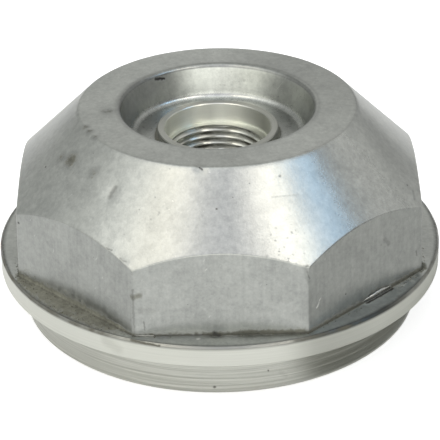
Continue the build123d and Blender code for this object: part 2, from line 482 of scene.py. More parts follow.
real = add(thread_tree, REALIZE, (cut_mesh,))[0]
is_mine = add(thread_tree, "FunctionNodeCompare", (mine, WHOLLY), operation="GREATER_THAN")[0]
threaded = add(thread_tree, SET_MATERIAL, (real, is_mine, given["Turned Metal"]))[0]
add(thread_tree, "NodeGroupOutput", (threaded,))
print("thread tree:", len(thread_tree.nodes), "nodes")

# %% [markdown]
# ## Knocks, scratches and stains
# This cap has been on a wheel. It has a gouge on its shoulder, chips along its sharp edges, a slit in
# the mouth of the recess and stains at its foot. Each mark is written as a short line on the surface,
# with its width and depth. The same table serves twice: the materials colour every point that lies
# near a line, which stays crisp at any size, and marks with a depth also push the mesh in.

# %% Marks: finish, strength, width and depth in millimetres, and the points that the line runs through
CAST_MARKS = {
    "gouge on the left shoulder": ("dark", 0.4, 1.15, 0.25, [(-28.5, -36.9, 50.0), (-27.0, -35.7, 51.9)]),
    "pit in front": ("dark", 0.8, 0.4, 0.0, [(-0.7, -46.0, 50.6)]),
    "nick in the top edge": ("dark", 0.9, 0.45, 0.3, [(-5.0, -37.4, 58.5), (-4.3, -38.2, 58.1)]),
    "speck on the shoulder": ("dark", 0.35, 0.5, 0.0, [(15.8, -37.8, 55.6)]),
    "long scratch": ("stain", 0.1, 0.35, 0.0, [(13.6, -42.6, 51.9), (20.7, -40.3, 51.4)]),
    "spot on the far left shoulder": ("dark", 0.9, 0.55, 0.0, [(-46.6, -14.8, 47.7)]),
    "spot on the right shoulder": ("dark", 0.6, 0.5, 0.0, [(50.7, -18.9, 42.5)]),
    "streak on the right shoulder": ("dark", 0.25, 0.8, 0.0, [(52.3, -19.3, 40.9), (52.5, -21.8, 39.7)]),
    "slit in the mouth": ("dark", 1.0, 0.75, 0.0, [(-17.3, 19.8, 57.4), (-14.9, 21.4, 56.7)]),
    "smear by the slit": ("dark", 0.4, 0.6, 0.0, [(-20.3, 17.4, 58.2), (-18.8, 18.7, 57.9)]),
    "shade in the recess": (
        "dark", 0.3, 5.0, 0.0,
        [(-24.8, 6.1, 54.9), (-22.9, 12.0, 56.1), (-19.4, 16.8, 55.4)],
    ),
    "stain on the front corner": ("stain", 0.7, 1.3, 0.0, [(-22.6, -54.5, 29.9), (-21.0, -54.7, 30.3)]),
    "worn line down the corner": ("dark", 0.28, 0.5, 0.0, [(-22.6, -54.7, 32.1), (-22.6, -55.0, 19.3)]),
    "smudge by the corner": ("dark", 0.15, 1.4, 0.0, [(-20.9, -54.9, 25.9), (-17.8, -54.8, 25.8)]),
    "scribe by the corner": ("dark", 0.35, 0.36, 0.0, [(-20.0, -54.9, 22.6), (-19.8, -55.0, 20.2)]),
    "speck on the flange": ("bright", 1.0, 0.9, 0.0, [(-6.0, -57.0, 18.5)]),
    "notch at the foot": ("dark", 1.0, 0.95, 0.3, [(-1.8, -55.1, 18.75), (-0.6, -55.5, 18.55)]),
    "scratch on the right flat": ("bright", 0.9, 0.26, 0.0, [(25.9, -51.7, 26.8), (25.2, -52.4, 25.3)]),
    "end of that scratch": ("bright", 1.0, 0.45, 0.0, [(25.2, -52.4, 25.3), (24.9, -52.7, 24.7)]),
    "speck on the right flat": ("dark", 0.8, 0.35, 0.0, [(32.9, -44.8, 23.9)]),
    "smudge on the right flat": ("dark", 0.28, 1.1, 0.0, [(43.7, -33.6, 34.0), (45.0, -32.4, 32.0)]),
    "smudge by the right corner": ("dark", 0.35, 0.5, 0.0, [(53.1, -24.5, 25.2), (53.4, -24.2, 23.8)]),
    "patch past the right corner": ("stain", 1.0, 1.1, 0.0, [(55.6, -19.6, 18.5), (55.9, -22.4, 18.5)]),
    "dirt at the right foot": (
        "stain", 0.95, 0.8, 0.0,
        [(45.7, -32.7, 18.5), (50.9, -27.2, 18.6), (55.3, -22.1, 18.5)],
    ),
    # Painted shadow: the dark line on the flange under the bent-up sliver
    "painted shadow under the flash": (
        "dark", 1.0, 0.7, 0.0,
        [(38.9, -40.3, 18.5), (42.6, -36.8, 18.5), (46.2, -33.1, 18.5)],
    ),
    "dirt at the near right foot": (
        "stain", 0.7, 0.6, 0.0,
        [(23.3, -54.4, 19.1), (29.9, -48.2, 18.6), (37.6, -40.8, 18.5)],
    ),
    "spots on the far left corner": ("dark", 0.8, 0.5, 0.0, [(-54.0, -23.3, 35.2)]),
    "chip in the right front corner": ("dark", 0.5, 0.45, 0.3, [(22.2, -54.7, 37.1), (23.0, -54.4, 34.2)]),
    "first chip in the left scallop": ("dark", 0.4, 0.4, 0.14, [(-29.2, -47.7, 40.6), (-27.9, -48.6, 40.5)]),
    "second chip in the left scallop": ("dark", 0.3, 0.4, 0.14, [(-25.7, -51.1, 39.4), (-24.1, -52.3, 39.0)]),
}
TURNED_MARKS = {
    "stain on the flange edge": (
        "stain", 0.85, 0.45, 0.0,
        [(-23.4, -56.7, 18.3), (-19.8, -58.3, 18.1), (-16.1, -59.5, 18.0)],
    ),
    "scuff on the rim": ("dark", 0.14, 2.4, 0.0, [(-30.1, -53.8, 16.3), (-27.0, -55.4, 14.8)]),
    "nick in the rim": ("dark", 0.7, 0.4, 0.0, [(36.4, -49.6, 18.1)]),
    "pit in the spigot": ("dark", 0.9, 0.4, 0.0, [(12.2, -53.5, 6.2)]),
    "low pit in the spigot": ("dark", 0.9, 0.65, 0.0, [(-2.0, -54.96, 2.2)]),
    "rough spot on the spigot": ("dark", 0.1, 0.9, 0.0, [(15.3, -52.6, 5.2), (16.9, -52.2, 3.6)]),
}
print("marks:", len(CAST_MARKS), "on the cast skin,", len(TURNED_MARKS), "on the turned metal")

# %% Marks as nodes: how strongly the marks of one finish show at a point
# A mark is at full strength over this share of its width
MARK_CORE = 0.15
# Keeps a mark of one point from dividing by nothing
NO_LENGTH = 1e-12


def marked(tree, where, finish, mark_table):
    """The strongest mark of this finish at each point, by its distance from the mark's line."""
    most = 0.0
    for kind, strength, width, *depth, points in mark_table.values():
        if kind != finish:
            continue
        for start, end in zip(points, points[1:] or points):
            along = (Vector(end) - Vector(start)) * MM
            step = along / max(along.length_squared, NO_LENGTH)
            from_start = add(tree, VECTOR, (where, Vector(start) * MM), operation="SUBTRACT")[0]
            share = add(tree, VECTOR, (from_start, step), operation="DOT_PRODUCT")["Value"]
            kept = add(tree, MATH, (share, 0.0), operation="ADD", use_clamp=True)[0]
            nearest = add(tree, VECTOR, {0: along, "Scale": kept}, operation="SCALE")[0]
            gap = add(tree, VECTOR, (from_start, nearest), operation="DISTANCE")["Value"]
            edges = (gap, MARK_CORE * width * MM, width * MM, strength, 0.0)
            shown = add(tree, RANGE, edges, **SMOOTH)[0]
            most = add(tree, MATH, (most, shown), operation="MAXIMUM")[0]
    return most


print("mark helper ready")

# %% [markdown]
# ## The cast skin
# Aluminium that was cast in a steel mould keeps a dull grey skin. It mirrors the room only as soft
# patches of light. The metal chilled unevenly as it filled the mould, so the skin is mottled, and the
# mould's polish left faint streaks that run up the flats. So the material is a metal of middle
# roughness whose tone drifts over a centimetre, in scuffs of three millimetres, in a finer mottle and
# in the streaks, with a fine grain in its bump, a few pits and hair scratches. The pits, the hair
# scratches and the grain are finer on the real skin, and are drawn coarse enough to show. Grime sits
# where a rag doesn't reach: the points of the mesh carry how much, and a noise breaks its edge.
# The same number also lays painted shade at the foot of the boss, and the tone that the points carry is
# partly painted light and shade.


# %% Colours and scales
def linear(code):
    """A colour written as sRGB hex, turned into the linear values that nodes take."""
    channels = [int(code[place:place + 2], 16) / 255 for place in (1, 3, 5)]
    curve = [c / 12.92 if c <= 0.04045 else ((c + 0.055) / 1.055) ** 2.4 for c in channels]
    return (*curve, 1.0)


def per_mm(size):
    """The texture scale at which one feature is this many millimetres wide."""
    return 1.0 / (size * MM)


def new_material(name):
    """An empty material and its node tree."""
    material = bpy.data.materials.new(name)
    material.use_nodes = True
    material.node_tree.nodes.clear()
    return material, material.node_tree


COORDINATES = "ShaderNodeTexCoord"
CARRIED = "ShaderNodeAttribute"
SURFACE = "ShaderNodeBsdfPrincipled"
OUTPUT = "ShaderNodeOutputMaterial"
RGB = {"data_type": "RGBA", "clamp_factor": True}
# Most of a noise lies between these two values
MOST_NOISE = (0.3, 0.7)
print("cast grey in linear light:", [round(v, 3) for v in linear("#aeb0ad")[:3]])


# %% What both metals share: ragged edges on marks, and grime
def ragged_spot(tree, where):
    """The place of each point, moved about by a fine noise, which gives every mark a ragged edge."""
    wobble = add(tree, NOISE, {"Vector": where, "Scale": per_mm(0.9), "Detail": 3.0})["Color"]
    centred = add(tree, VECTOR, (wobble, (0.5, 0.5, 0.5)), operation="SUBTRACT")[0]
    return add(tree, VECTOR, (centred, (0.7 * MM,) * 3, where), operation="MULTIPLY_ADD")[0]


def grime_and_shade_shown(tree, noise, edge, stains):
    """The grime and painted shade that the mesh carries, its edge broken by a noise, together with the
    stains.
    """
    carried = add(tree, CARRIED, attribute_name="grime_and_shade")["Fac"]
    ragged = add(tree, RANGE, (noise, 0.25, 0.75, -edge, edge))[0]
    broken = add(tree, MATH, (carried, ragged), operation="ADD")[0]
    field = add(tree, RANGE, (broken, 0.3, 0.8, 0.0, 1.0), **SMOOTH)[0]
    return add(tree, MATH, (field, stains), operation="MAXIMUM")[0]


print("helpers for both metals ready")

# %% Material: die cast aluminium, dull and mottled, at first its tone
cast_skin, tree = new_material("die_cast_aluminium")
where = add(tree, COORDINATES)["Object"]
blotch = add(tree, NOISE, {"Vector": where, "Scale": per_mm(11), "Detail": 3.0})[0]
mottle = add(tree, NOISE, {"Vector": where, "Scale": per_mm(1.4), "Detail": 6.0, "Roughness": 0.68})[0]
grain = add(tree, NOISE, {"Vector": where, "Scale": per_mm(0.5), "Detail": 2.0})[0]
drawn_out = add(tree, "ShaderNodeMapping", {"Vector": where, "Scale": (1.0, 1.0, 0.07)})[0]
streak = add(tree, NOISE, {"Vector": drawn_out, "Scale": per_mm(1.1), "Detail": 3.0})[0]
drift = add(tree, RANGE, (blotch, *MOST_NOISE, 0.25, 0.75))[0]
fine = add(tree, RANGE, (mottle, *MOST_NOISE, -0.34, 0.34))[0]
lines = add(tree, RANGE, (streak, *MOST_NOISE, -0.16, 0.16))[0]
speckle = add(tree, RANGE, (grain, *MOST_NOISE, -0.12, 0.12))[0]
scuff_noise = add(tree, NOISE, {"Vector": where, "Scale": per_mm(3), "Detail": 6.0, "Roughness": 0.7})[0]
scuffs = add(tree, RANGE, (scuff_noise, 0.44, 0.58, -0.11, 0.11), **SMOOTH)[0]
tone = drift
for layer in (scuffs, fine, lines):
    tone = add(tree, MATH, (tone, layer), operation="ADD")[0]
tone = add(tree, MATH, (tone, speckle), operation="ADD", use_clamp=True)[0]
metal = add(tree, MIX, (tone, linear("#9d9f9c"), linear("#b6b8b4")), **RGB)[2]
tone_mark = add(tree, CARRIED, attribute_name="tone")["Fac"]
toned = add(tree, VECTOR, {0: metal, "Scale": tone_mark}, operation="SCALE")[0]
print("cast skin:", len(tree.nodes), "nodes for its tone")

# %% Cast skin: pits, hair scratches and the marks of the table
cells = add(tree, "ShaderNodeTexVoronoi", {"Vector": where, "Scale": per_mm(4.0)})
cell_draw = add(tree, "ShaderNodeSeparateColor", (cells["Color"],))[0]
chosen = add(tree, MATH, (cell_draw, 0.72), operation="GREATER_THAN")[0]
spot = add(tree, RANGE, (cells["Distance"], 0.01, 0.07, 0.45, 0.0), **SMOOTH)[0]
pits = add(tree, MATH, (spot, chosen), operation="MULTIPLY")[0]
turned_place = add(tree, "ShaderNodeMapping", {"Vector": where, "Rotation": (0.4, 0.9, 0.5)})[0]
hair_place = add(tree, "ShaderNodeMapping", {"Vector": turned_place, "Scale": (0.05, 1.0, 1.0)})[0]
hair = add(tree, NOISE, {"Vector": hair_place, "Scale": per_mm(0.6), "Detail": 1.0})[0]
scratches = add(tree, RANGE, (hair, 0.74, 0.80, 0.0, 0.35))[0]
ragged_place = ragged_spot(tree, where)
dark_marks = marked(tree, ragged_place, "dark", CAST_MARKS)
stain_marks = marked(tree, ragged_place, "stain", CAST_MARKS)
bright_marks = marked(tree, ragged_place, "bright", CAST_MARKS)
pitted = add(tree, CARRIED, attribute_name="pitted")["Fac"]
flecks = add(tree, "ShaderNodeTexVoronoi", {"Vector": ragged_place, "Scale": per_mm(1.1)})
fleck_draw = add(tree, "ShaderNodeSeparateColor", (flecks["Color"],))[0]
fleck_size = add(tree, RANGE, (fleck_draw, 0.35, 1.0, 0.0, 0.45))[0]
fleck = add(tree, RANGE, (flecks["Distance"], 0.0, fleck_size, 0.4, 0.0))[0]
fleck_shown = add(tree, MATH, (fleck, pitted), operation="MULTIPLY")[0]
all_pits = add(tree, MATH, (fleck_shown, pits), operation="MAXIMUM")[0]
dark = add(tree, MATH, (dark_marks, all_pits), operation="MAXIMUM")[0]
bright = add(tree, MATH, (bright_marks, scratches), operation="MAXIMUM")[0]
print("cast skin:", len(tree.nodes), "nodes with its marks")

# %% Cast skin: grime, and everything put together
grime_and_shade = grime_and_shade_shown(tree, mottle, 0.3, stain_marks)
dirt = add(tree, MIX, (tone, linear("#505047"), linear("#7c7c71")), **RGB)[2]
scratched = add(tree, MIX, (bright, toned, linear("#e2e2de")), **RGB)[2]
shaded_dirt = add(tree, VECTOR, {0: dirt, "Scale": tone_mark}, operation="SCALE")[0]
dirty = add(tree, MIX, (grime_and_shade, scratched, shaded_dirt), **RGB)[2]
colour = add(tree, MIX, (dark, dirty, linear("#1f1e1c")), **RGB)[2]
dull = add(tree, MATH, (dark, grime_and_shade), operation="MAXIMUM")[0]
metal_share = add(tree, RANGE, (dull, 0.0, 1.0, 1.0, 0.15))[0]
rough_metal = add(tree, RANGE, (mottle, *MOST_NOISE, 0.29, 0.36))[0]
polish_mark = add(tree, CARRIED, attribute_name="polish")["Fac"]
rough_worn = add(tree, MIX, (polish_mark, rough_metal, 0.24), **FLOAT)[0]
rough = add(tree, MIX, (dull, rough_worn, 0.8), **FLOAT)[0]
sunk = add(tree, MATH, (dark, -2.0, grain), operation="MULTIPLY_ADD")[0]
relief = add(tree, MATH, (mottle, 0.8, sunk), operation="MULTIPLY_ADD")[0]
bump = add(tree, "ShaderNodeBump", {"Strength": 0.4, "Distance": 0.05 * MM, "Height": relief})[0]
surface = add(
    tree,
    SURFACE,
    {"Base Color": colour, "Metallic": metal_share, "Roughness": rough, "Normal": bump},
)[0]
add(tree, OUTPUT, (surface,))
print("material:", cast_skin.name, "with", len(tree.nodes), "nodes")

# %% [markdown]
# ## The turned metal
# A lathe tool leaves bright, clean aluminium with fine rings round the axis, one for each turn of the
# work. The rings are far too fine to model, so they are lines in the bump and a slight drift in the
# colour: a noise that is read by radius and height only, which makes it the same all the way round.
# The rim of the flange was finished smoother than the spigot, and its points carry that as polish. The
# counterbore of the boss has the highest polish mark, which here means a satin wall, a little rougher.
# Rings also stretch every reflection across them, which is what the anisotropic shader is for.
# The grime that the points carry also lays painted shade in the bore's thread and on the flange's edge, and
# their tone is partly painted light and shade.

# %% Material: turned aluminium, bright with fine rings
turned_metal, tree = new_material("turned_aluminium")
where = add(tree, COORDINATES)["Object"]
at_x, at_y, at_z = add(tree, "ShaderNodeSeparateXYZ", (where,))
flat_place = add(tree, "ShaderNodeCombineXYZ", (at_x, at_y, 0.0))[0]
from_axis = add(tree, VECTOR, (flat_place,), operation="LENGTH")["Value"]
drawn_round = add(tree, "ShaderNodeMapping", {"Vector": where, "Scale": (0.012, 0.012, 0.0)})[0]
ring_place = add(tree, "ShaderNodeCombineXYZ", (from_axis, at_z, 0.0))[0]
ring_drift = add(tree, VECTOR, (ring_place, drawn_round), operation="ADD")[0]
# The tool's real rings are finer than a pixel, so they are drawn about half a millimetre apart
rings = add(tree, NOISE, {"Vector": ring_drift, "Scale": per_mm(0.55), "Detail": 5.0, "Roughness": 0.75})[0]
cloud = add(tree, NOISE, {"Vector": where, "Scale": per_mm(6), "Detail": 4.0})[0]
polish_mark = add(tree, CARRIED, attribute_name="polish")["Fac"]
ring_depth = add(tree, RANGE, (polish_mark, 0.0, 1.0, 1.15, 0.1))[0]
ring_signed = add(tree, RANGE, (rings, *MOST_NOISE, -0.5, 0.5))[0]
ring_tone = add(tree, MATH, (ring_signed, ring_depth, 0.5), operation="MULTIPLY_ADD")[0]
bright = add(tree, MIX, (ring_tone, linear("#abaca4"), linear("#dbdcd5")), **RGB)[2]
tone_mark = add(tree, CARRIED, attribute_name="tone")["Fac"]
toned = add(tree, VECTOR, {0: bright, "Scale": tone_mark}, operation="SCALE")[0]
print("turned metal:", len(tree.nodes), "nodes for its rings")

# %% Turned metal: marks, grime, and everything put together
ragged_place = ragged_spot(tree, where)
dark = marked(tree, ragged_place, "dark", TURNED_MARKS)
stain_marks = marked(tree, ragged_place, "stain", TURNED_MARKS)
grime_and_shade = grime_and_shade_shown(tree, cloud, 0.35, stain_marks)
darkened = add(tree, MIX, (dark, toned, linear("#45433d")), **RGB)[2]
colour = add(tree, MIX, (grime_and_shade, darkened, linear("#5c5a4f")), **RGB)[2]
dull = add(tree, MATH, (dark, grime_and_shade), operation="MAXIMUM")[0]
metal_share = add(tree, RANGE, (dull, 0.0, 1.0, 1.0, 0.2))[0]
rough_metal = add(tree, RANGE, (cloud, *MOST_NOISE, 0.28, 0.36))[0]
rough_cut = add(tree, RANGE, (polish_mark, 0.9, 1.0, 0.0, 0.2))[0]
rough_bare = add(tree, MATH, (rough_metal, rough_cut), operation="ADD")[0]
rough = add(tree, MIX, (dull, rough_bare, 0.8), **FLOAT)[0]
ring_height = add(tree, MATH, (ring_signed, ring_depth), operation="MULTIPLY")[0]
bump = add(tree, "ShaderNodeBump", {"Strength": 0.5, "Distance": 0.05 * MM, "Height": ring_height})[0]
across_rings = add(tree, VECTOR, ((0.0, 0.0, 1.0), flat_place), operation="CROSS_PRODUCT")[0]
surface = add(
    tree,
    SURFACE,
    {
        "Base Color": colour,
        "Metallic": metal_share,
        "Roughness": rough,
        "Normal": bump,
        "Anisotropic": 0.7,
        "Anisotropic Rotation": 0.25,
        "Tangent": across_rings,
    },
)[0]
add(tree, OUTPUT, (surface,))
print("material:", turned_metal.name, "with", len(tree.nodes), "nodes")

# %% [markdown]
# ## The mesh of the cap
# The octagon's tree runs first, then the thread's tree twice, once for each thread. The result is kept
# as a plain mesh and the modifiers are removed.

# %% Run the trees and keep the result as a plain mesh
run_tree(
    cap,
    octagon,
    {
        "Columns": FLATS * 44,
        "Flats": FLATS,
        "Across Flats": ACROSS_FLATS * MM,
        "Flat Draft": radians(FLAT_DRAFT),
        "Corner Radius": CORNER_RADIUS * MM,
        "Flange Top": FLANGE_TOP * MM,
        "Top Radius": TOP_RADIUS * MM,
        "Cap Height": CAP_HEIGHT * MM,
        "Shoulder Top": SHOULDER_TOP * MM,
        "Shoulder Slope": radians(SHOULDER_ANGLE),
        "Edge Softness": 0.3 * MM,
        "Cast Wave": 0.16 * MM,
        "Wave Size": 14 * MM,
        "Cast Skin": cast_skin,
        "Turned Metal": turned_metal,
    },
)
# Thread, depth of its groove, share of the crest, start, end and fade, in millimetres
spigot_cut = (SPIGOT_THREAD, -0.05, 0.4, 0.0, 11.5, 1.5)
boss_cut = (BOSS_THREAD, 1.08, 0.15, BOSS_FOOT + THREAD_BREAK, LEDGE + THREAD_PITCH, 0.4)
for thread, groove_depth, crest_share, start, end, fade in (spigot_cut, boss_cut):
    run_tree(
        cap,
        thread_tree,
        {
            "Thread": float(thread),
            "Pitch": THREAD_PITCH * MM,
            "Groove": groove_depth * MM,
            "Crest Share": crest_share,
            "Start": start * MM,
            "End": end * MM,
            "Fade": fade * MM,
            "Turned Metal": turned_metal,
        },
    )


def plain_mesh(piece):
    """Turns what a piece's trees give into its own mesh, and removes the trees and the old mesh."""
    shaped = piece.evaluated_get(bpy.context.evaluated_depsgraph_get())
    mesh = bpy.data.meshes.new_from_object(shaped)
    piece.modifiers.clear()
    drawn = piece.data
    piece.data = mesh
    bpy.data.meshes.remove(drawn)
    mesh.name = piece.name
    return mesh


cap_mesh = plain_mesh(cap)
print("cap:", len(cap_mesh.vertices), "points,", len(cap_mesh.polygons), "faces", cap_mesh.materials.keys())

# %% Check which way the faces point
corners = np.empty(len(cap_mesh.vertices) * 3)
cap_mesh.vertices.foreach_get("co", corners)
corners = corners.reshape(-1, 3)
cap_mesh.calc_loop_triangles()
triangles = np.empty(len(cap_mesh.loop_triangles) * 3, dtype=np.int32)
cap_mesh.loop_triangles.foreach_get("vertices", triangles)
a, b, c = (corners[triangles.reshape(-1, 3)[:, k]] for k in range(3))
volume = np.einsum("ij,ij->i", a, np.cross(b, c)).sum() / 6
if volume < 0:
    cap_mesh.flip_normals()
print("volume:", round(abs(volume) * 1e6, 1), "cm3, triangles:", len(cap_mesh.loop_triangles))

# %% Push in the marks that have a depth, then smooth all but the real edges
DENT_SPREAD, LEAST_REACH, SHARP_ANGLE = 2.2, 1.2, 35
normals = np.empty(len(cap_mesh.vertices) * 3)
cap_mesh.vertex_normals.foreach_get("vector", normals)
normals = normals.reshape(-1, 3)
sunk_by = np.zeros(len(corners))
for *colouring, width, depth, points in CAST_MARKS.values():
    reach = max(DENT_SPREAD * width, LEAST_REACH) * MM
    for start, end in zip(points, points[1:] or points):
        first = np.array(start) * MM
        along = np.array(end) * MM - first
        share = np.clip((corners - first) @ along / max(along @ along, NO_LENGTH), 0, 1)
        gap = np.linalg.norm(corners - first - share[:, None] * along, axis=1)
        sunk_by = np.maximum(sunk_by, depth * MM * np.clip(1 - (gap / reach) ** 2, 0, 1) ** 2)
corners -= normals * sunk_by[:, None]
cap_mesh.vertices.foreach_set("co", corners.ravel())
cap_mesh.update()
cap_mesh.shade_smooth()
cap_mesh.set_sharp_from_angle(angle=radians(SHARP_ANGLE))
print("points moved by dents:", int((sunk_by > 0).sum()), "deepest", round(sunk_by.max() / MM, 2), "mm")

# %% [markdown]
# ## Where the grime lies
# Grease and road dirt dry in the corner where the flats meet the flange, and nobody wipes them out.
# It is thick on the left, patchy in front and thick again at the far right, and a few soft smudges lie
# on the shoulder and the top. The mesh carries it as one number for each point. Tables say how much
# there is at each bearing, in degrees from the front and positive to the right, and rules say how it
# thins out up the flats and over the flange.
# The same number also carries painted shade: round the foot of the boss, in the grooves of its thread and on
# the right of the flange's edge.


# %% Where each point of the cap lies, in millimetres and degrees, and on which surface
def stored_on(mesh, name):
    """The values of a named attribute on the points of a mesh."""
    values = np.empty(len(mesh.vertices))
    mesh.attributes[name].data.foreach_get("value", values)
    return values


def between(values, low, high):
    """Which of the values lie between these two."""
    return (values > low) & (values < high)


east, north, height_of = corners.T / MM
bearing = np.degrees(np.arctan2(east, -north))
from_centre = np.hypot(east, north)
follows, share_of, thread_of = (stored_on(cap_mesh, name) for name in ("follows", "share", "thread"))
on_the_flats = np.isclose(follows, ON_FLAT)
on_the_shoulder = np.isclose(follows, ON_SHOULDER)
on_the_strip = np.isclose(follows, ON_FLANGE_TOP)
on_the_top = (height_of > 58.4) & (from_centre > 27.7)
on_the_rim = (from_centre > FLANGE_RADIUS - 0.1) & (height_of > FLANGE_SEAT)
on_edge = (from_centre > FLANGE_RADIUS - 0.6) & (height_of > FLANGE_TOP - 0.6)
in_recess = between(from_centre, 17.0, 27.0) & (height_of > 49.0)
in_the_bore = between(from_centre, 14.5, 14.7) & between(height_of, 46.4, 51.9)
in_boss_thread = np.isclose(thread_of, BOSS_THREAD)
at_boss_foot = between(from_centre, 16.5, 17.8) & between(height_of, 49.0, 50.2)
above_foot = np.clip(height_of - FLANGE_TOP, 0, None)
near_foot = (on_the_flats & (above_foot < 0.6)) | (on_the_strip & (share_of < 0.1))
at_fillet = near_foot & (share_of < 0.05)
print("points on the flats:", int(on_the_flats.sum()), "and on the shoulder:", int(on_the_shoulder.sum()))

# %% Grime at the foot of the flats and over the flange, grime and painted shade on its edge, and painted shade round the boss and in its thread
AT_FOOT = [
    (-180, 0.6), (-75, 0.8), (-66, 0.95), (-28, 0.95), (-22, 0.6), (-8, 0.55), (0, 0.65), (4, 0.8),
    (21, 0.85), (24, 0.7), (40, 0.7), (43, 0.45), (53, 0.45), (55, 0.85), (66, 0.95), (75, 0.75), (180, 0.6),
]
CLIMB = [
    (-180, 1.1), (-72, 1.3), (-66, 3.4), (-40, 2.8), (-24, 1.4), (-21, 1.1), (3, 1.1), (7, 1.8), (20, 1.8),
    (23, 1.1), (180, 1.1),
]
ON_STRIP = [
    (-180, 0.2), (-85, 0.2), (-70, 0.35), (-65, 0.9), (-30, 0.85), (-21, 0.25), (-8, 0.05), (22, 0.05),
    (30, 0.25), (50, 0.35), (62, 0.45), (68, 0.5), (76, 0.2), (180, 0.2),
]
# Grime on the flange's edge, and on its right painted shade that dims the highlight the edge would mirror
# there
EDGE_GRIME_AND_SHADE = [
    (-180, 0.35), (-85, 0.5), (-20, 0.55), (-10, 0.1), (10, 0.05), (18, 0.5), (60, 0.45), (180, 0.35),
]
# The share of the flange's width over which the foot's grime thins out, the painted shade at the boss's
# foot, and how much thicker the grime is right in the corner
FOOT_SPREAD, BOSS_FOOT_SHADE, THICKEST = 0.15, 0.75, 1.35


def by_bearing(table):
    """What a table gives at the bearing of each point, drawn straight from entry to entry."""
    return np.interp(bearing, *zip(*table))


foot_level, strip_level = by_bearing(AT_FOOT), by_bearing(ON_STRIP)
up_the_flat = foot_level * np.exp(-above_foot / by_bearing(CLIMB))
from_foot = foot_level * np.exp(-share_of / FOOT_SPREAD)
over_strip = np.maximum(strip_level * (1.1 - 0.45 * share_of), from_foot)
# Painted shade in the boss's thread, darkest at the roots of its grooves
thread_groove_shade = 0.5 * np.clip(from_centre - BORE_RADIUS, 0, 1)
grime_and_shade = np.where(on_the_flats, up_the_flat, 0.0)
grime_and_shade = np.where(on_the_strip, over_strip, grime_and_shade)
# Painted shade, not grime, in the thread's grooves and at the boss's foot
grime_and_shade = np.where(in_boss_thread, thread_groove_shade, grime_and_shade)
grime_and_shade = np.where(at_boss_foot, BOSS_FOOT_SHADE, grime_and_shade)
grime_and_shade = np.where(near_foot, THICKEST * grime_and_shade, grime_and_shade)
grime_and_shade = np.where(on_edge, by_bearing(EDGE_GRIME_AND_SHADE), grime_and_shade)
print("points with grime:", int((grime_and_shade > 0.3).sum()), "of", len(grime_and_shade))

# %% Smudges, and patches of small pits: strength, reach and middle of each, in millimetres
SMUDGES = [
    (0.78, 3.4, -39.2, -20.2, 52.2), (0.6, 2.2, -42.2, -16.7, 51.3), (0.5, 2.4, -32.9, -28.9, 52.9),
    (0.55, 3.0, -30.0, -3.5, 58.6), (0.62, 1.6, -35.3, -12.9, 58.5), (0.62, 1.6, -34.2, -15.6, 58.5),
    (0.58, 1.5, -32.6, -18.9, 58.5), (0.8, 2.6, 54.5, -20.9, 19.6),
]
PITTED = [
    (0.9, 9, 17, -51, 42), (0.5, 7, -16, -46, 48), (0.8, 9, 48, -21, 45), (0.7, 9, -39, -24, 50.5),
    (0.7, 10, 43, -34, 31), (0.5, 8, -2, -54, 30), (0.5, 9, -24, 25, 58.6), (0.5, 8, 4, 24, 54),
]


def patches(table, fall):
    """The strongest of these round patches at each point, by how they fall off towards their reach."""
    most = np.zeros(len(corners))
    for strength, reach, *middle in table:
        gap = np.linalg.norm(corners / MM - middle, axis=1)
        most = np.maximum(most, strength * np.clip(fall(gap / reach), 0, 1))
    return most


smudged = patches(SMUDGES, lambda share: 1 - share ** 2)
store(cap_mesh, "grime_and_shade", np.maximum(grime_and_shade, smudged))
store(cap_mesh, "pitted", patches(PITTED, lambda share: 1.5 - 1.5 * share))
print("points under smudges:", int((smudged > 0).sum()))

# %% [markdown]
# ## Tone and polish by bearing
# Each surface has its own table of tone by bearing, which is multiplied into the tone of its rows.
# The tables are painted light and shade: lighter where a surface should mirror more light, and darker
# where it falls in shade or would mirror too bright a highlight. The right of the shoulder was rubbed
# almost bright, which sharpens what it mirrors.

# %% Tone of each surface
# Painted light and shade by bearing: lighter where a surface should mirror more light, darker where it falls
# in shade, as on the sides of the recess and the right of the bore
IN_RECESS = [
    (-180, 1.05), (-150, 0.95), (-125, 0.7), (-90, 0.78), (-60, 0.9), (0, 1.0), (60, 0.9), (90, 0.78),
    (125, 0.7), (150, 0.95), (180, 1.05),
]
ON_FLATS = [
    (-180, 1.0), (-70, 0.88), (-23.5, 0.88), (-21.5, 1.0), (21.5, 1.0), (23.5, 0.94), (70, 0.94), (180, 1.0),
]
AT_FILLET = [(-180, 1.0), (-70, 1.0), (-66, 1.9), (-28, 1.8), (-22, 1.0), (180, 1.0)]
ON_SLOPE = [
    (-180, 1.0), (-92, 0.92), (-86, 1.0), (-80, 1.16), (-70, 1.12), (-60, 1.08), (-50, 1.0), (-28, 1.0),
    (-20, 0.92), (-10, 1.03), (0, 1.0), (12, 1.0), (20, 1.1), (30, 1.06), (40, 1.0), (50, 1.12), (70, 1.07),
    (80, 1.0), (180, 1.0),
]
ON_TOP = [
    (-180, 1.08), (-130, 1.0), (10, 1.0), (30, 1.1), (50, 1.1), (80, 0.95), (105, 0.84), (150, 0.84),
    (180, 1.08),
]
IN_BORE = [
    (-180, 0.97), (-172, 0.85), (-158, 1.0), (-143, 0.95), (-128, 0.85), (-110, 0.75), (-90, 0.8), (0, 1.0),
    (90, 0.6), (120, 0.42), (133, 0.5), (147, 0.65), (162, 0.85), (175, 1.0), (180, 0.97),
]
ON_RIM = [(-180, 1.0), (28, 1.0), (42, 1.16), (75, 1.16), (100, 1.0), (180, 1.0)]
